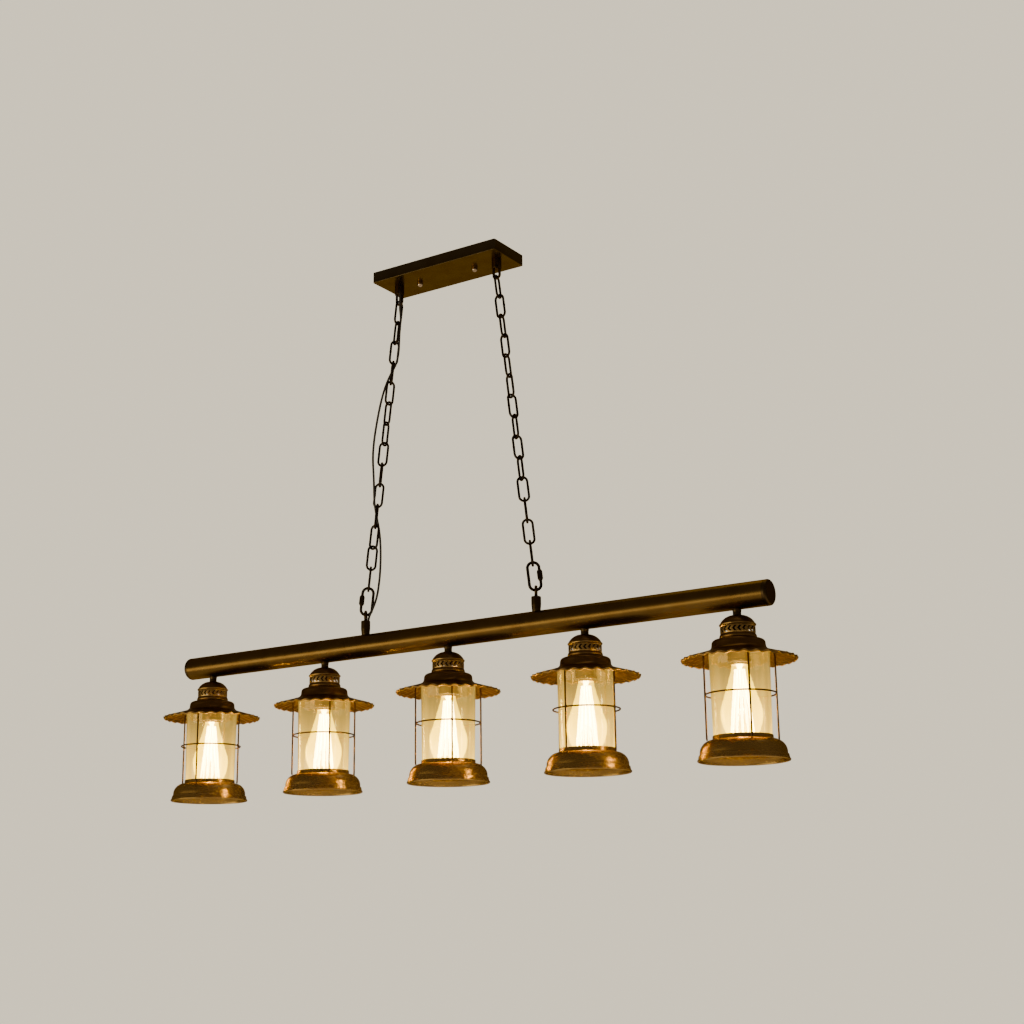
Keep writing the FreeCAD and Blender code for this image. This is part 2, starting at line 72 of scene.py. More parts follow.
# Vent cap and hood, as in the frame
STEM_HOLE = 5.3
VENT_TOP = -29.0
BAND_TOP = -47.2
BAND_BOTTOM = -58.2
BAND_RADIUS = 26.6
BAND_WALL = 1.3
CHEVRONS = 22
CHEVRON_LEAN = 0.62
CHEVRON_RIB = 0.45
HOOD_TOP = -64.5
BRIM_START = 50.5
BRIM_START_HEIGHT = -85.2
BRIM_SLOPE = 0.325
BRIM_THICKNESS = 1.35
BRIM_RADIUS = 87.5
FLUTES = 30
FLUTE_START = 50.0
FLUTE_LIFT = 1.0
SCALLOP = 0.8

# Cage and glass, as in the frame
CAGE_RADIUS = 55.2
CAGE_TOP = -88.6
CAGE_FOOT = -219.7
CAGE_WIRE_RADIUS = 1.5
CAGE_TURNS = (17.0, 50.0, 42.0, 84.0, 39.0)
UPRIGHTS = 4
RING_HEIGHT = -150.0
RING_WIRE_RADIUS = 1.35
SOLDER_RADIUS = 2.05
SOLDER_HALF = 3.5
LEDGE = -219.6
GLASS_TOP = -85.6
GLASS_FOOT_RADIUS = 43.9
GLASS_TOP_RADIUS = 46.3
GLASS_WALL = 2.2

# Bulb: its screw cap, and the filament zigzag between an upper and a lower ring of hooks
BULB_CAP_RADIUS = 13.05
BULB_CAP_TOP = -85.0
BULB_CAP_LOW = -106.0
THREAD_PITCH = 3.6
THREAD_DEPTH = 0.55
FILAMENT_LOOPS = 12
FILAMENT_TOP = -113.0
FILAMENT_TOP_RADIUS = 7.0
FILAMENT_LOW = -204.0
FILAMENT_LOW_RADIUS = 17.0
FILAMENT_RADIUS = 1.3
UPPER_HOOK_ROOT = -115.0
LOWER_HOOK_ROOT = -172.0
HOOK_ROOT_RADIUS = 2.0
HOOK_WIRE_RADIUS = 0.25

# Where the glow on the glass starts and stops fading, in metres; on the chimney this is painted glow
GLOW_LOW = -0.205
GLOW_HIGH = -0.105

# Chains, as in the frame
LINK_WIRE = 4.2
WELD_BEAD = 0.24
WELD_REACH = 1.3
LOOP_SPREAD = 107.3
LOOP_BOTTOM = 53.0
HANGER_SPREAD = 178.5
HANGER_PIVOT = 55.8
QUICK_TURN = 33.0

# Cord, as in the frame: (height above the bar's axis, offset along the quick link's plane, offset across it)
CORD_DIAMETER = 4.0
CORD_ROUTE = (
    (649.6, 1.0, -6.6), (638, 1.3, -6.8), (628.2, 1.4, -6.8),
    (625.8, 1.3, -6.6), (614, 2.7, -5.1), (602, 5.2, -1.6), (590.4, 5.5, -0.7),
    (588.4, 5.5, -0.7), (572, 5.8, -0.8), (553, 7.2, -1.2), (534, 8.2, -1.6), (515, 6.6, -2.3),
    (499.5, -0.2, -0.2), (484, -6.4, 0.4), (462, -11.7, 0.1), (436, -15.4, 0.0), (404, -17.9, 0.0),
    (372, -19.4, 0.0), (341, -18.4, -0.2), (312, -13.8, -0.5), (284, -9.6, -2.0), (256, -6.1, -4.3),
    (232, 0.4, 0.0), (208, 7.6, 2.7), (181, 12.8, 1.4), (151, 16.2, 0.4), (123, 17.8, -0.4),
    (99.4, 17.3, -1.1),
    (97.4, 17.2, -1.2), (84, 16.0, -2.4), (71.5, 13.4, -4.1), (60.2, 9.8, -5.0),
    (58.6, 9.2, -5.0), (52.0, 6.5, -4.1), (45.7, 5.2, -3.0), (40.4, 4.95, -2.6),
)

# Each stretch of the cord: name, low end in metres above the bar's axis, the CAD pieces that it stands for, its one
# body or the two that it joins, and the heights in metres over which it passes from one to the other. A stretch with
# such heights stays fixed where it is, on no body, and doesn't bend; the heights themselves are not read.
CORD_STRETCHES = (
    ("cord_at_loop", 0.608, ["power_cord_collar", "power_cord_top"],
     ["canopy", "left_top_link"], (-0.046, -0.060)),
    ("cord_at_first_link", 0.545, [],
     ["left_top_link", "left_chain"], (-0.080, -0.101)),
    ("cord_on_chain", 0.135, ["power_cord"],
     ["left_chain"], None),
    ("cord_at_quick_link", 0.078, ["power_cord_link"],
     ["left_chain", "left_quick_link"], (-0.570, -0.594)),
    ("cord_at_hanger", -math.inf, ["power_cord_tail"],
     ["left_quick_link", "bar"], (-0.612, -0.634)),
)

# Stage, in metres
FLOOR_Z = -5.0
FLOOR_HALF = 12.0
LIGHT_TARGET = (0, 0, -0.65)

# Camera: its place in metres, its angles in degrees, its lens in millimetres
CAMERA_PLACE = (1.58485, -2.23158, -1.18053)
CAMERA_YAW = 33.045
CAMERA_PITCH = 14.67
CAMERA_ROLL = -0.743
CAMERA_LENS = 57.21
CAMERA_SENSOR = 36.0


# ---------------------------------------------------------------- materials

class Finish:
    """A Principled material and helpers for the nodes that feed it."""

    def __init__(self, name, **values):
        self.material = bpy.data.materials.new(name)
        self.material.use_nodes = True
        self.tree = self.material.node_tree
        self.shader = self.tree.nodes["Principled BSDF"]
        for socket, value in values.items():
            self.shader.inputs[socket.replace("_", " ")].default_value = value

    def node(self, kind, inputs=(), **settings):
        made = self.tree.nodes.new(kind)
        for key, value in settings.items():
            setattr(made, key, value)
        for socket, value in dict(inputs).items():
            self.feed(made.inputs[socket], value)
        return made

    def feed(self, socket, value):
        if isinstance(value, bpy.types.NodeSocket):
            self.tree.links.new(value, socket)
        else:
            socket.default_value = value

    def set(self, socket, value):
        self.feed(self.shader.inputs[socket], value)

    def noise(self, scale, detail=3.0, stretch=(1, 1, 1), distortion=0.0):
        place = self.node("ShaderNodeTexCoord").outputs["Object"]
        scaled = self.node("ShaderNodeMapping", {"Vector": place, "Scale": stretch})
        made = self.node("ShaderNodeTexNoise", {
            "Vector": scaled.outputs["Vector"], "Scale": scale, "Detail": detail, "Distortion": distortion})
        return made.outputs["Fac"]

    def spread(self, value, low, high, to_low=0.0, to_high=1.0):
        made = self.node("ShaderNodeMapRange", {
            "Value": value, "From Min": low, "From Max": high, "To Min": to_low, "To Max": to_high})
        return made.outputs["Result"]

    def height(self):
        place = self.node("ShaderNodeTexCoord").outputs["Object"]
        return self.node("ShaderNodeSeparateXYZ", {"Vector": place}).outputs["Z"]

    def math(self, operation, first, second):
        return self.node("ShaderNodeMath", {0: first, 1: second}, operation=operation).outputs[0]

    def mix(self, share, first, second):
        made = self.node("ShaderNodeMix", data_type="RGBA")
        self.feed(made.inputs["Factor"], share)
        self.feed(made.inputs[6], first)
        self.feed(made.inputs[7], second)
        return made.outputs[2]

    # Sharp edges, lightened both for wear and for a painted edge highlight
    def worn_and_highlit_edges(self):
        pointed = self.node("ShaderNodeNewGeometry").outputs["Pointiness"]
        return self.spread(pointed, 0.515, 0.57)

    def bump(self, height, strength, distance):
        made = self.node("ShaderNodeBump", {"Height": height, "Strength": strength, "Distance": distance})
        self.set("Normal", made.outputs["Normal"])


def colour(red, green, blue):
    return (red, green, blue, 1.0)


def shaded(tone, share):
    """A darker shade of a colour."""
    return tuple(share * part for part in tone[:3]) + (1.0,)


def plated(name, deep, light, worn_highlit_tone, rough=(0.28, 0.42), grain=(1, 1, 1), wear=0.6, metal=1.0, marks=0.05):
    """Bronze or brass plating: faintly cloudy colour, lighter edges that are partly wear and partly a painted
    highlight, fine rub marks along the grain.
    """
    f = Finish(name, Metallic=metal, Specular_Tint=colour(0.70, 0.52, 0.28))
    clouds = f.noise(14, 4, distortion=0.4)
    specks = f.noise(420, 3)
    base = f.mix(f.spread(clouds, 0.30, 0.72), deep, light)
    base = f.mix(f.spread(specks, 0.60, 0.80, 0, 0.25), base, deep)
    # Lighter edges: wear, and a painted highlight along the edges
    edges = f.math("MULTIPLY", f.worn_and_highlit_edges(), f.spread(f.noise(40, 3), 0.30, 0.60, 0.5 * wear, wear))
    f.set("Base Color", f.mix(edges, base, worn_highlit_tone))
    rub = f.noise(160, 4, grain)
    f.set("Roughness", f.math("ADD", f.spread(rub, 0.3, 0.7, *rough), f.spread(clouds, 0.3, 0.7, -0.03, 0.04)))
    f.bump(f.math("ADD", rub, f.math("MULTIPLY", specks, 0.5)), marks, 0.0003)
    return f.material


def plain_metal(name, tone, rough, grain=(1, 1, 1)):
    """Bare or zinc-plated metal with fine variation."""
    f = Finish(name, Metallic=1.0)
    clouds = f.noise(60, 4)
    f.set("Base Color", f.mix(f.spread(clouds, 0.3, 0.7), tone, shaded(tone, 0.72)))
    lines = f.noise(220, 3, grain)
    f.set("Roughness", f.spread(lines, 0.3, 0.7, rough, rough + 0.16))
    f.bump(lines, 0.1, 0.0003)
    return f.material


def plastic(name, tone, rough, mark=0.25):
    """Moulded plastic or cord sheath with a fine leathery skin."""
    f = Finish(name, Specular_IOR_Level=0.45)
    clouds = f.noise(70, 4)
    f.set("Base Color", f.mix(f.spread(clouds, 0.3, 0.7), tone, shaded(tone, 1 - mark)))
    skin = f.noise(900, 2)
    f.set("Roughness", f.spread(f.noise(140, 3), 0.3, 0.7, rough - 0.06, rough + 0.08))
    f.bump(skin, 0.15, 0.0002)
    return f.material


def clear_glass(name, tint, glow, glow_strength, upper, streak=0.5):
    """Blown glass with vertical draw streaks and a warm glow from its lamp painted in as emission, down to the share
    upper at the top.
    """
    f = Finish(name, Base_Color=tint, Roughness=0.03, IOR=1.45, Transmission_Weight=1.0)
    streaks = f.noise(60, 3, (1, 1, 0.06))
    bubbles = f.noise(300, 2, (1, 1, 0.35))
    f.bump(f.math("ADD", streaks, f.math("MULTIPLY", bubbles, 0.15)), 0.25, 0.0012)
    # Painted glow: emission that is uneven along the draw streaks and fades towards the top
    f.set("Emission Color", glow)
    level = f.spread(streaks, 0.35, 0.7, glow_strength * (1 - streak), glow_strength)
    fade = f.spread(f.height(), GLOW_LOW, GLOW_HIGH, 1.0, upper)
    f.set("Emission Strength", f.math("MULTIPLY", level, fade))
    through = f.node("ShaderNodeBsdfTransparent", {"Color": tint})
    lamp_ray = f.node("ShaderNodeLightPath").outputs["Is Shadow Ray"]
    both = f.node("ShaderNodeMixShader", {0: lamp_ray, 1: f.shader.outputs[0], 2: through.outputs[0]})
    f.tree.links.new(both.outputs[0], f.tree.nodes["Material Output"].inputs["Surface"])
    return f.material


def glowing(name, tone, strength):
    """Hot wire, or glass lit by it, a little uneven along its length."""
    f = Finish(name, Base_Color=tone, Roughness=0.6, Emission_Color=tone)
    f.set("Emission Strength", f.spread(f.noise(120, 2, (1, 1, 0.1)), 0.3, 0.7, 0.8 * strength, strength))
    return f.material


def make_materials():
    """Every finish, by name."""
    across = (1, 30, 30)
    upright = (30, 30, 1)
    spun = (1, 1, 40)
    warm_white = colour(1.0, 0.84, 0.58)
    made = {}

    def add(recipe, name, *values, **settings):
        made[name] = recipe(name, *values, **settings)

    add(plated, "dark_bronze", colour(0.085, 0.040, 0.008), colour(0.118, 0.060, 0.013), colour(0.22, 0.15, 0.05),
        rough=(0.25, 0.34), grain=across, wear=0.3)
    # The canopy's lighter edges are partly a painted highlight line along its folds, partly wear
    add(plated, "canopy_bronze", colour(0.054, 0.032, 0.008), colour(0.080, 0.048, 0.012), colour(0.20, 0.16, 0.10),
        rough=(0.20, 0.30), grain=across, wear=0.3)
    add(plated, "hanger_bronze", colour(0.040, 0.024, 0.010), colour(0.08, 0.048, 0.020), colour(0.26, 0.18, 0.09),
        grain=upright, wear=0.2)
    add(plated, "red_bronze", colour(0.100, 0.048, 0.014), colour(0.160, 0.084, 0.025), colour(0.62, 0.40, 0.14),
        rough=(0.26, 0.38), grain=spun, wear=0.8, metal=0.95, marks=0.02)
    add(plated, "aged_brass", colour(0.24, 0.136, 0.036), colour(0.33, 0.195, 0.055), colour(0.66, 0.46, 0.20),
        rough=(0.22, 0.32), grain=spun, wear=0.5, metal=0.92, marks=0.015)
    add(plated, "chain_iron", colour(0.020, 0.013, 0.008), colour(0.045, 0.030, 0.018), colour(0.12, 0.08, 0.05),
        rough=(0.34, 0.5), wear=0.15)
    add(plated, "cage_wire", colour(0.050, 0.024, 0.010), colour(0.10, 0.052, 0.022), colour(0.22, 0.13, 0.06),
        grain=upright, wear=0.4)
    add(plain_metal, "polished_brass", colour(0.50, 0.38, 0.28), 0.10)
    add(plain_metal, "zinc_steel", colour(0.55, 0.56, 0.57), 0.28)
    add(plain_metal, "lamp_cap", colour(0.70, 0.52, 0.28), 0.22, spun)
    add(plastic, "cord_sheath", colour(0.022, 0.016, 0.012), 0.42)
    add(plastic, "wire_brown", colour(0.16, 0.060, 0.025), 0.4)
    add(plastic, "terminal_plastic", colour(0.72, 0.70, 0.64), 0.45, 0.08)
    add(plastic, "socket_phenolic", colour(0.10, 0.055, 0.025), 0.35)
    # The chimney is clear glass: its amber tint and its emission are painted glow from the bulb inside
    add(clear_glass, "clear_glass", colour(1.0, 0.93, 0.70), colour(1.0, 0.60, 0.06), 0.68, 0.22)
    add(clear_glass, "bulb_glass", colour(1.0, 0.94, 0.68), colour(1.0, 0.68, 0.0), 1.9, 0.5, 0.3)
    add(glowing, "filament", warm_white, 130.0)
    add(glowing, "mount_glass", warm_white, 70.0)
    return made


# ---------------------------------------------------------------- mesh building

def around(radius, angle, height=0.0):
    """The point at a radius and an angle about Z."""
    return Vector((radius * math.cos(angle), radius * math.sin(angle), height))


class Form:
    """Points and faces of one mesh, in millimetres."""

    def __init__(self):
        self.points = []
        self.faces = []

    def grid(self, rows, wrap_rows=False):
        """Faces between rows of points, which all have the same number of points and close on themselves."""
        start, count, width = len(self.points), len(rows), len(rows[0])
        for row in rows:
            self.points.extend(row)
        for r in range(count if wrap_rows else count - 1):
            for c in range(width):
                below, beside = (r + 1) % count, (c + 1) % width
                self.faces.append((
                    start + r * width + c, start + r * width + beside,
                    start + below * width + beside, start + below * width + c))

    def turned(self, line, columns=112, wave=None):
        """The closed outline turned about Z. wave(radius, height, angle) may move each point."""
        rows = []
        for radius, height in line:
            row = []
            for column in range(columns):
                angle = TURN * column / columns
                r, z = wave(radius, height, angle) if wave else (radius, height)
                row.append((r * math.cos(angle), r * math.sin(angle), z))
            rows.append(row)
        self.grid(rows, wrap_rows=True)

    def tube(self, path, radius, sides=14, closed=False):
        """A round tube along a path. radius is one number or one for each point."""
        path = [Vector(point) for point in path]
        count = len(path)
        radii = radius if hasattr(radius, "__len__") else [radius] * count
        ahead = [path[(i + 1) % count] if closed or i + 1 < count else path[i] for i in range(count)]
        behind = [path[i - 1] if closed or i else path[0] for i in range(count)]
        along = [(a - b).normalized() for a, b in zip(ahead, behind)]
        side = along[0].orthogonal().normalized()
        rows = []
        for point, direction, thick in zip(path, along, radii):
            side = (side - direction * side.dot(direction)).normalized()
            other = direction.cross(side)
            rows.append([
                tuple(point + (side * math.cos(TURN * k / sides) + other * math.sin(TURN * k / sides)) * thick)
                for k in range(sides)])
        self.grid(rows, wrap_rows=closed)
        if not closed:
            for row, end in ((rows[0], path[0]), (rows[-1], path[-1])):
                self.grid([row, [tuple(end)] * sides])

    def pierced(self, outer, inner, is_hole):
        """A wall between two grids of points, with holes where is_hole(row, column) says so."""
        start = len(self.points)
        rows, columns = len(outer), len(outer[0])
        for layer in (outer, inner):
            for row in layer:
                self.points.extend(row)

        def at(layer, r, c):
            return start + (layer * rows + r) * columns + c % columns

        def solid(r, c):
            return 0 <= r < rows - 1 and not is_hole(r, c % columns)

        for r in range(rows - 1):
            for c in range(columns):
                if not solid(r, c):
                    continue
                self.faces.append((at(0, r, c), at(0, r, c + 1), at(0, r + 1, c + 1), at(0, r + 1, c)))
                self.faces.append((at(1, r, c), at(1, r + 1, c), at(1, r + 1, c + 1), at(1, r, c + 1)))
                walls = (
                    (r - 1, c, (r, c), (r, c + 1)), (r + 1, c, (r + 1, c), (r + 1, c + 1)),
                    (r, c - 1, (r, c), (r + 1, c)), (r, c + 1, (r, c + 1), (r + 1, c + 1)),
                )
                for next_row, next_column, first, second in walls:
                    if not solid(next_row, next_column):
                        self.faces.append((at(0, *first), at(0, *second), at(1, *second), at(1, *first)))

    def mesh(self, name, material, sharp=38):
        """The finished mesh in metres, smooth except at edges sharper than sharp degrees."""
        made = bpy.data.meshes.new(name)
        made.from_pydata([tuple(c * MM for c in point) for point in self.points], [], self.faces)
        work = bmesh.new()
        work.from_mesh(made)
        bmesh.ops.remove_doubles(work, verts=work.verts, dist=1e-7)
        bmesh.ops.recalc_face_normals(work, faces=work.faces)
        work.to_mesh(made)
        work.free()
        made.polygons.foreach_set("use_smooth", [True] * len(made.polygons))
        made.set_sharp_from_angle(angle=math.radians(sharp))
        made.materials.append(material)
        return made


def outline(steps, fine=1.0):
    """Closed outline: (r, z) ends a straight run, and (rm, zm, r, z) an arc through (rm, zm).

    fine is the most that two points of an arc may be apart.
    """
    line = []
    last = steps[-1][-2:]
    for step in steps:
        if len(step) == 4:
            line.extend(arc(last, step[:2], step[2:], fine))
        else:
            line.append(step)
        last = step[-2:]
    return line


def arc(start, through, end, fine):
    """Points of the circular arc from start through a middle point to end, without the start."""
    (ax, ay), (bx, by), (cx, cy) = start, through, end
    a, b, c = ax * ax + ay * ay, bx * bx + by * by, cx * cx + cy * cy
    d = 2 * (ax * (by - cy) + bx * (cy - ay) + cx * (ay - by))
    ux = (a * (by - cy) + b * (cy - ay) + c * (ay - by)) / d
    uy = (a * (cx - bx) + b * (ax - cx) + c * (bx - ax)) / d
    radius = math.hypot(ax - ux, ay - uy)
    first = math.atan2(ay - uy, ax - ux)
    mid = math.atan2(by - uy, bx - ux)
    last = math.atan2(cy - uy, cx - ux)
    sweep = (last - first) % TURN
    if (mid - first) % TURN > sweep:
        sweep -= TURN
    count = max(3, math.ceil(abs(sweep) * radius / fine))
    angles = [first + sweep * k / count for k in range(1, count + 1)]
    return [(ux + radius * math.cos(angle), uy + radius * math.sin(angle)) for angle in angles]


def ease(value):
    """0 to 1 with a soft start and a soft end."""
    value = min(max(value, 0.0), 1.0)
    return value * value * (3 - 2 * value)


def show(name, mesh, body, place=(0, 0, 0), turn=0.0, stands_for=()):
    """One object of a mesh, riding on a body. turn is in degrees about Z."""
    made = bpy.data.objects.new(name, mesh)
    bpy.context.scene.collection.objects.link(made)
    made.matrix_world = Matrix.Translation(place) @ Matrix.Rotation(math.radians(turn), 4, "Z")
    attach(made, body)
    if stands_for:
        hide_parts(*stands_for)


# ---------------------------------------------------------------- lanterns

def vent_mesh(material):
    """Dome with a rolled lip, a band pierced with chevrons and a flared foot."""
    inner_radius = BAND_RADIUS - BAND_WALL
    form = Form()
    form.turned(outline([
        (STEM_HOLE, VENT_TOP), (7.4, VENT_TOP), (8.4, -29.5), (20.2, -34.2, 27.2, -43.0), (28.5, -44.2, 27.6, -45.6),
        (BAND_RADIUS, BAND_TOP), (inner_radius, BAND_TOP),
        (26.0, -44.6), (19.4, -35.4, 7.2, -30.4), (STEM_HOLE, -30.4),
    ]))

    steps, cells = 10, 4
    outer, inner = [], []
    for row in range(steps + 1):
        share = row / steps
        lean = -CHEVRON_LEAN * (1 - abs(2 * share - 1))
        height = BAND_TOP + (BAND_BOTTOM - BAND_TOP) * share
        for layer, radius in ((outer, BAND_RADIUS), (inner, inner_radius)):
            points = []
            for column in range(CHEVRONS * cells):
                angle = TURN * (column / cells + lean) / CHEVRONS
                on_rib = column % cells < 3 and 0 < row < steps
                reach = radius + (CHEVRON_RIB if on_rib else 0.0)
                points.append((reach * math.cos(angle), reach * math.sin(angle), height))
            layer.append(points)
    form.pierced(outer, inner, lambda row, column: 1 <= row < steps - 1 and column % cells in (2, 3))

    form.turned(outline([
        (inner_radius, BAND_BOTTOM), (BAND_RADIUS, BAND_BOTTOM), (27.4, -59.2, 28.0, -60.6),
        (28.6, -62.6, 28.0, HOOD_TOP), (26.4, HOOD_TOP), (26.4, -60.8),
    ]))
    return form.mesh("vent", material)


def brim_wave(radius, height, angle):
    """Flutes and scallops that grow towards the brim's edge."""
    grow = ease((radius - FLUTE_START) / (BRIM_RADIUS - FLUTE_START))
    ripple = math.cos(FLUTES * angle)
    return radius + SCALLOP * grow ** 3 * ripple, height + FLUTE_LIFT * grow ** 1.4 * ripple


def hood_mesh(material):
    """Rounded shoulder and a fluted brim with a rolled edge, in one sheet."""
    top = [(STEM_HOLE, HOOD_TOP), (27.6, HOOD_TOP), (28.6, -64.7, 29.4, -65.2), (33.0, -66.6), (36.5, -67.4)]
    shoulder = [(39.9, -69.8, 41.0, -73.6), (41.6, -78.6), (45.6, -83.0, BRIM_START, BRIM_START_HEIGHT)]
    brim = [(r, BRIM_START_HEIGHT - (r - BRIM_START) * BRIM_SLOPE) for r in np.linspace(53.0, 86.4, 16)]
    edge = [(88.2, -97.2, 87.9, -98.5), (86.9, -99.6, 86.0, -98.4)]
    under = [(r, z - BRIM_THICKNESS) for r, z in reversed(brim[:-1])]
    inside = [
        (50.0, -86.6), (44.9, -84.1, 40.4, -79.0), (39.7, -74.0), (38.9, -70.8, 36.0, -68.7),
        (28.0, -65.8), (STEM_HOLE, -65.8),
    ]
    form = Form()
    form.turned(outline(top + shoulder + brim + edge + under + inside), columns=FLUTES * 12, wave=brim_wave)
    return form.mesh("hood", material, 50)


def cage_mesh(material):
    """Upright wires with turned-in feet, one ring and a solder blob at each crossing."""
    form = Form()
    ring = CAGE_RADIUS - CAGE_WIRE_RADIUS - 0.1
    form.tube([around(ring, TURN * k / 120, RING_HEIGHT) for k in range(120)], RING_WIRE_RADIUS, closed=True)
    profile = [(CAGE_RADIUS - r, CAGE_TOP - z) for r, z in ((2.6, -0.2), (1.3, 0.6), (0.4, 2.2), (0, 5.0))]
    profile += [(CAGE_RADIUS, z) for z in np.linspace(CAGE_TOP - 12, CAGE_FOOT + 8, 12)]
    profile += [(CAGE_RADIUS - r, CAGE_FOOT + z) for r, z in ((0, 3.5), (0.1, 1.6), (0.4, 0))]
    rises = np.linspace(0.1 - SOLDER_HALF, SOLDER_HALF - 0.1, 11)
    thick = [SOLDER_RADIUS * math.sqrt(max(1 - (rise / SOLDER_HALF) ** 2, 0.02)) for rise in rises]
    for upright in range(UPRIGHTS):
        angle = TURN * upright / UPRIGHTS
        form.tube([around(r, angle, z) for r, z in profile], CAGE_WIRE_RADIUS)
        form.tube([around(CAGE_RADIUS - 0.5, angle, RING_HEIGHT + rise) for rise in rises], thick)
    return form.mesh("cage", material, 60)


def glass_mesh(material):
    """Clear chimney, a little wider at the top, with fire-polished rims."""
    def outer(height):
        share = (height - LEDGE) / (GLASS_TOP - LEDGE)
        return GLASS_FOOT_RADIUS + (GLASS_TOP_RADIUS - GLASS_FOOT_RADIUS) * share

    levels = [-180.0, -150.0, -120.0]
    low, high = LEDGE + 1.1, GLASS_TOP - 1.1
    half = GLASS_WALL / 2
    line = [(outer(low) - GLASS_WALL, low), (outer(LEDGE) - half, LEDGE, outer(low), low)]
    line += [(outer(z), z) for z in levels + [high]]
    line += [(outer(GLASS_TOP) - half, GLASS_TOP, outer(high) - GLASS_WALL, high)]
    line += [(outer(z) - GLASS_WALL, z) for z in reversed(levels)]
    form = Form()
    form.turned(outline(line, 0.4))
    return form.mesh("chimney", material)


def foot_mesh(material):
    """Spun ring: collar and ledge for the glass, convex shoulder, groove and rolled lip."""
    form = Form()
    form.turned(outline([
        (44.3, -212.8), (44.9, -212.1, 45.5, -212.8), (45.7, -217.4), (46.3, -218.9, 47.6, -219.3), (52.6, -219.5),
        (61.2, -225.6, 65.4, -236.0), (65.5, -239.2), (65.9, -240.6, 67.2, -241.2), (68.3, -246.8),
        (69.6, -249.2, 68.4, -250.4), (66.9, -249.6), (65.8, -242.2), (64.1, -240.4), (64.0, -236.4),
        (60.1, -226.6, 52.2, -220.9), (40.6, -220.9), (40.6, LEDGE), (44.3, LEDGE),
    ], 0.8), columns=128)
    return form.mesh("foot", material)


def envelope_form():
    """The bulb's thin teardrop."""
    form = Form()
    form.turned(outline([
        (12.4, -95), (12.4, -109), (20.0, -136.0, 28.4, -162.0), (32.0, -181.0, 27.4, -200.0),
        (16.8, -213.7, 0.3, -219.0), (0.3, -218.2), (16.3, -212.9, 26.7, -199.6), (31.2, -181.0, 27.7, -162.3),
        (19.3, -136.3, 11.6, -109.2), (11.6, -95),
    ], 2.0), columns=72)
    return form


def thread_wave(radius, height, angle):
    """The rolled thread of a screw cap, on the points of its side only."""
    if radius < BULB_CAP_RADIUS - 0.15 or height > BULB_CAP_TOP - 1 or height < BULB_CAP_LOW + 1.5:
        return radius, height
    turn = TURN * (height - BULB_CAP_TOP) / THREAD_PITCH + angle
    return radius - THREAD_DEPTH * (0.5 - 0.5 * math.cos(turn)), height


def bulb_cap_form():
    """Screw cap with its contact on top."""
    contact = [(0.2, -79.4), (4.2, -79.4), (4.8, -79.8, 5.0, -81.4), (11.8, -83.4)]
    steps = 70
    side = [(BULB_CAP_RADIUS, BULB_CAP_TOP + (BULB_CAP_LOW - BULB_CAP_TOP) * k / steps) for k in range(steps + 1)]
    inside = [(12.5, -106.6), (12.4, -86.6), (0.2, -83.6)]
    form = Form()
    form.turned(outline(contact + side + inside), columns=48, wave=thread_wave)
    return form


def mount_form():
    """Glass stem that carries the hooks."""
    form = Form()
    form.turned(outline([
        (0.2, -95), (9.5, -95), (6.8, -101.0, 3.6, -111.0), (2.6, -125.0), (2.2, -171.0),
        (3.4, -173.5, 0.2, -176.0),
    ]), columns=32)
    return form


def filament_form():
    """Strands that zigzag between the upper and the lower hooks."""
    form = Form()
    strands = 2 * FILAMENT_LOOPS
    for strand in range(strands):
        start = (FILAMENT_TOP_RADIUS, FILAMENT_TOP)
        stop = (FILAMENT_LOW_RADIUS, FILAMENT_LOW)
        if strand % 2:
            start, stop = stop, start
        start = around(start[0], TURN * strand / strands, start[1])
        stop = around(stop[0], TURN * (strand + 1) / strands, stop[1])
        form.tube([start.lerp(stop, k / 8) for k in range(9)], FILAMENT_RADIUS, sides=8)
    return form


def hooks_form():
    """Fine wires from the mount to each turn of the filament."""
    form = Form()
    rings = (
        (0.0, FILAMENT_TOP_RADIUS, FILAMENT_TOP, UPPER_HOOK_ROOT),
        (0.5, FILAMENT_LOW_RADIUS, FILAMENT_LOW, LOWER_HOOK_ROOT),
    )
    for shift, radius, height, root in rings:
        for k in range(FILAMENT_LOOPS):
            angle = TURN * (k + shift) / FILAMENT_LOOPS
            form.tube([around(HOOK_ROOT_RADIUS, angle, root), around(0.6 * radius, angle, (root + height) / 2),
                       around(radius, angle, height)], HOOK_WIRE_RADIUS, sides=6)
    return form


def build_lanterns(materials):
    """The pieces of the five lanterns. They share their meshes, and each cage and bulb is turned its own way."""
    meshes = {
        "vent_cap": (vent_mesh(materials["red_bronze"]), "red_bronze"),
        "hood": (hood_mesh(materials["red_bronze"]), "red_bronze"),
        "cage": (cage_mesh(materials["cage_wire"]), "cage_wire"),
        "glass": (glass_mesh(materials["clear_glass"]), "clear_glass"),
        "base": (foot_mesh(materials["aged_brass"]), "aged_brass"),
    }
    bulb_meshes = {
        "glass": envelope_form().mesh("envelope", materials["bulb_glass"]),
        "cap": bulb_cap_form().mesh("lamp_cap", materials["lamp_cap"], 60),
        "mount": mount_form().mesh("lamp_mount", materials["mount_glass"]),
        "filament": filament_form().mesh("filament", materials["filament"]),
        "hooks": hooks_form().mesh("filament_hooks", materials["zinc_steel"]),
    }
    for number in LANTERNS:
        place = (LANTERN_X[number], 0, AXIS_Z)
        turn = CAGE_TURNS[number - 1]
        for part, (mesh, slot) in meshes.items():
            node = f"lantern_{number}_{part}"
            show(f"shown_{node}", mesh, "bar", place, turn if part == "cage" else 0.0, [node])
        node = f"lantern_{number}_bulb"
        for part, mesh in bulb_meshes.items():
            stands_for = [node] if part == "glass" else ()
            show(f"shown_{node}_{part}", mesh, f"bulb_{number}", place, turn, stands_for)


# ---------------------------------------------------------------- chains and cord

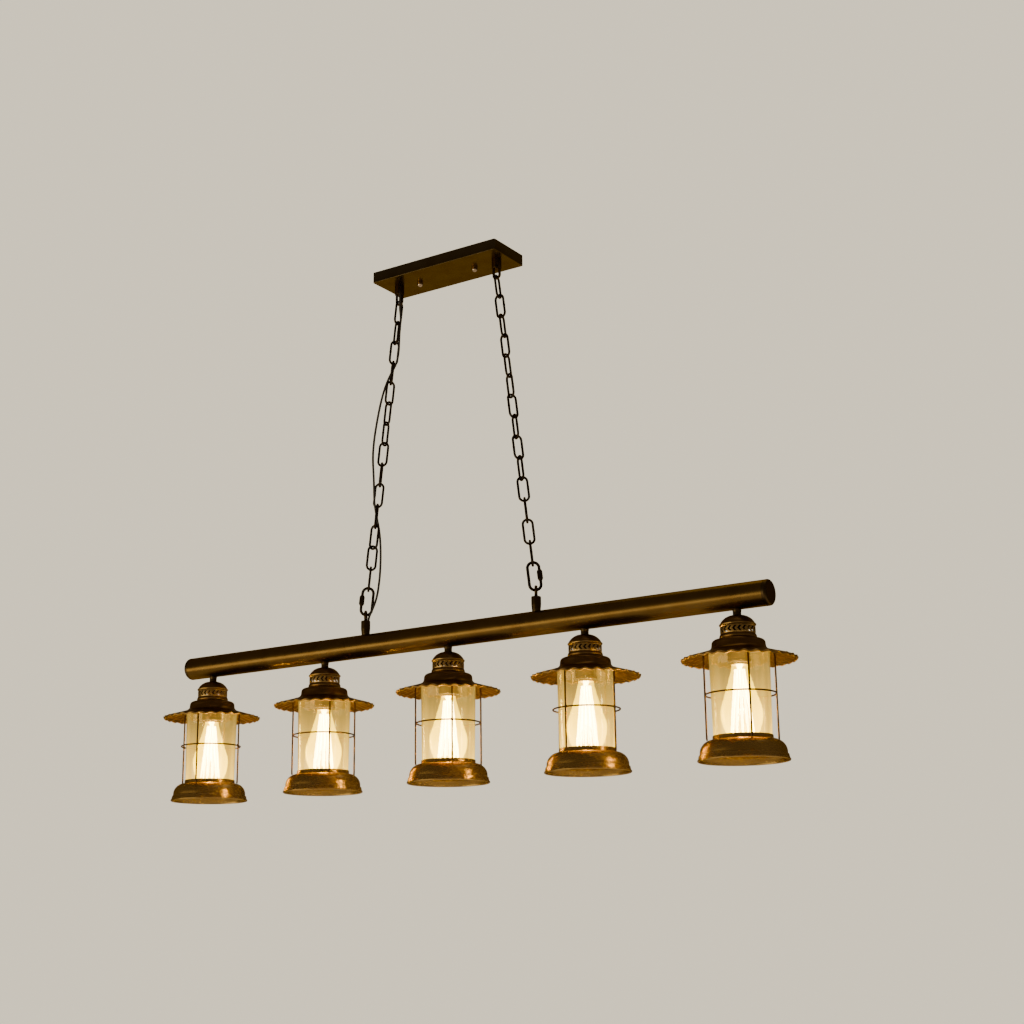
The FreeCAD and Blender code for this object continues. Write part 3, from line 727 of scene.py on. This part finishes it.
def separate_solids(node):
    """The corner points of each loose piece of a CAD node, from the top one down."""
    work = bmesh.new()
    work.from_mesh(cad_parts[node].data)
    bmesh.ops.remove_doubles(work, verts=work.verts, dist=1e-6)
    left = set(work.verts)
    groups = []
    while left:
        seed = left.pop()
        group, edge = [seed], [seed]
        while edge:
            for link in edge.pop().link_edges:
                for vert in link.verts:
                    if vert in left:
                        left.remove(vert)
                        group.append(vert)
                        edge.append(vert)
        groups.append(np.array([vert.co[:] for vert in group]))
    work.free()
    return sorted(groups, key=lambda points: -points[:, 2].mean())


def link_frame(points):
    """Centre, length direction, width direction and both outer sizes of one link."""
    centre = (points.max(0) + points.min(0)) / 2
    _, axes = np.linalg.eigh(np.cov((points - points.mean(0)).T))
    along, wide = Vector(axes[:, 2]), Vector(axes[:, 1])
    if along.z < 0:
        along = -along
    reach = [(points - centre) @ np.array(axis) for axis in (along, wide)]
    return Vector(centre), along, wide, [r.max() - r.min() for r in reach]


def link_chain(node, material):
    """Links of round wire, each with a weld bead on one leg, for a CAD node's links. Its body has the node's name."""
    form = Form()
    wire = LINK_WIRE / 2
    bend_steps, leg_steps = 20, 12
    for number, points in enumerate(separate_solids(node)):
        centre, along, wide, (length, width) = link_frame(points)
        bend = width / MM / 2 - wire
        leg = length / MM / 2 - wire - bend
        path, radii = [], []
        for end in (1, -1):
            for k in range(bend_steps + 1):
                angle = math.pi * k / bend_steps
                path.append((end * bend * math.cos(angle), end * (leg + bend * math.sin(angle))))
                radii.append(wire)
            welded = (end > 0) == (number % 2 > 0)
            for k in range(1, leg_steps):
                height = end * leg * (1 - 2 * k / leg_steps)
                path.append((-end * bend, height))
                bead = WELD_BEAD * math.exp(-(height / WELD_REACH) ** 2) if welded else 0.0
                radii.append(wire + bead)
        form.tube([centre / MM + wide * u + along * v for u, v in path], radii, sides=16, closed=True)
    name = f"shown_{node}"
    show(name, form.mesh(name, material), node, stands_for=[node])


def route_points():
    """The cord's route in metres. Its offsets are from the chain's line, which runs from loop to hanger eye."""
    top_z = -LOOP_BOTTOM * MM
    bottom_z = HANGER_PIVOT * MM + AXIS_Z
    top_x = -LOOP_SPREAD * MM
    bottom_x = -HANGER_SPREAD * MM
    turn = math.radians(QUICK_TURN)
    points = []
    for height, along, across in CORD_ROUTE:
        z = AXIS_Z + height * MM
        share = min(max((top_z - z) / (top_z - bottom_z), 0), 1)
        x = (along * math.cos(turn) - across * math.sin(turn)) * MM
        y = (along * math.sin(turn) + across * math.cos(turn)) * MM
        points.append((top_x + share * (bottom_x - top_x) + x, y, z))
    return points


def smooth_line(points):
    """The points of a NURBS line through the route, close together."""
    curve = bpy.data.curves.new("route", "CURVE")
    curve.dimensions = "3D"
    spline = curve.splines.new("NURBS")
    spline.points.add(len(points) - 1)
    for control, point in zip(spline.points, points):
        control.co = (*point, 1)
    spline.order_u = 3
    spline.use_endpoint_u = True
    spline.resolution_u = 10
    holder = bpy.data.objects.new("route", curve)
    mesh = bpy.data.meshes.new_from_object(holder)
    line = [v.co.copy() for v in mesh.vertices]
    bpy.data.objects.remove(holder)
    return line


def build_cord(material):
    """One cord in five stretches: a stretch on one body rides on it, and one that joins two stays where it is."""
    line = smooth_line(route_points())
    start = 0
    for name, low_end, nodes, bodies, bend_heights in CORD_STRETCHES:
        stop = next((i for i, point in enumerate(line) if point.z < AXIS_Z + low_end), len(line) - 1)
        part = line[start:stop + 1]
        start = stop
        form = Form()
        form.tube([point / MM for point in part], CORD_DIAMETER / 2, sides=16)
        cord = bpy.data.objects.new(name, form.mesh(name, material))
        bpy.context.scene.collection.objects.link(cord)
        if bend_heights:
            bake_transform(cord)
        else:
            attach(cord, *bodies)
        if nodes:
            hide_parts(*nodes)


# ---------------------------------------------------------------- CAD pieces that stay

def dress_cad(materials):
    """Finishes for the CAD pieces whose shape is right as it is."""
    finishes = {
        "canopy_cover": "canopy_bronze", "mounting_bracket": "zinc_steel", "bracket_studs": "zinc_steel",
        "cap_nuts": "polished_brass", "canopy_loops": "hanger_bronze", "loop_nuts": "zinc_steel",
        "terminal_block": "terminal_plastic", "supply_wiring": "wire_brown",
        "left_quick_link": "chain_iron", "right_quick_link": "chain_iron",
        "left_link_sleeve": "chain_iron", "right_link_sleeve": "chain_iron",
        "bar_tube": "dark_bronze", "bar_end_caps": "hanger_bronze", "bar_hangers": "hanger_bronze",
        "bar_nuts": "zinc_steel", "bar_wiring": "wire_brown", "lantern_stems": "hanger_bronze",
        "lamp_sockets": "socket_phenolic",
    }
    for node, finish in finishes.items():
        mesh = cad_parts[node].data
        mesh.materials.clear()
        mesh.materials.append(materials[finish])
        mesh.polygons.foreach_set("material_index", [0] * len(mesh.polygons))


# ---------------------------------------------------------------- stage

def soft_light(name, place, size, power, tone):
    """A rectangular lamp aimed at the lanterns, which the camera doesn't see."""
    lamp = bpy.data.lights.new(name, "AREA")
    lamp.shape = "RECTANGLE"
    lamp.size, lamp.size_y = size
    lamp.energy = power
    lamp.color = tone
    holder = bpy.data.objects.new(name, lamp)
    holder.location = place
    holder.rotation_euler = (Vector(LIGHT_TARGET) - Vector(place)).to_track_quat("-Z", "Y").to_euler()
    holder.visible_camera = False
    bpy.context.scene.collection.objects.link(holder)


def build_stage():
    """Pale floor, backdrop and two soft lights."""
    f = Finish("studio_floor", Roughness=0.85)
    speckle = f.noise(3.0, 4)
    f.set("Base Color", f.mix(f.spread(speckle, 0.3, 0.7), colour(0.60, 0.56, 0.49), colour(0.66, 0.62, 0.55)))
    corners = [(FLOOR_HALF * x, FLOOR_HALF * y, FLOOR_Z) for x, y in ((-1, -1), (1, -1), (1, 1), (-1, 1))]
    mesh = bpy.data.meshes.new("floor")
    mesh.from_pydata(corners, [], [(0, 1, 2, 3)])
    mesh.materials.append(f.material)
    floor = bpy.data.objects.new("floor", mesh)
    bpy.context.scene.collection.objects.link(floor)

    build_world()
    soft_light("key", (-1.45, -2.2, -1.12), (2.6, 0.75), 22, (1.0, 0.88, 0.58))
    soft_light("top", (0.3, 0.6, 1.4), (2.2, 1.4), 10, (1.0, 0.94, 0.84))


def build_world():
    """Pale backdrop that lights everything. Metal and glass reflect a dimmer room in its place."""
    world = bpy.data.worlds.new("studio")
    world.use_nodes = True
    bpy.context.scene.world = world
    tree = world.node_tree
    backdrop = tree.nodes["Background"]
    backdrop.inputs["Color"].default_value = colour(1.10, 0.98, 0.74)
    backdrop.inputs["Strength"].default_value = 1.0
    room = tree.nodes.new("ShaderNodeBackground")
    room.inputs["Color"].default_value = colour(0.150, 0.120, 0.085)
    glossy = tree.nodes.new("ShaderNodeLightPath").outputs["Is Glossy Ray"]
    either = tree.nodes.new("ShaderNodeMixShader")
    tree.links.new(glossy, either.inputs[0])
    tree.links.new(backdrop.outputs[0], either.inputs[1])
    tree.links.new(room.outputs[0], either.inputs[2])
    tree.links.new(either.outputs[0], tree.nodes["World Output"].inputs["Surface"])


def build_camera():
    """A camera below the bar and to the right of the light, looking up and to the left."""
    yaw, pitch, roll = (math.radians(angle) for angle in (CAMERA_YAW, CAMERA_PITCH, CAMERA_ROLL))
    ahead = Vector((-math.sin(yaw) * math.cos(pitch), math.cos(yaw) * math.cos(pitch), math.sin(pitch)))
    right = Vector((math.cos(yaw), math.sin(yaw), 0))
    up = right.cross(ahead)
    side = right * math.cos(roll) + up * math.sin(roll)
    top = up * math.cos(roll) - right * math.sin(roll)
    data = bpy.data.cameras.new("camera")
    data.lens = CAMERA_LENS
    data.sensor_width = CAMERA_SENSOR
    camera = bpy.data.objects.new("camera", data)
    axes = Matrix((side, top, -ahead)).transposed().to_4x4()
    camera.matrix_world = Matrix.Translation(CAMERA_PLACE) @ axes
    bpy.context.scene.collection.objects.link(camera)
    bpy.context.scene.camera = camera


materials = make_materials()
build_stage()
build_camera()
build_cord(materials["cord_sheath"])
for chain_node in ("left_top_link", "left_chain", "right_top_link", "right_chain"):
    link_chain(chain_node, materials["chain_iron"])
build_lanterns(materials)
dress_cad(materials)

bpy.context.view_layer.update()
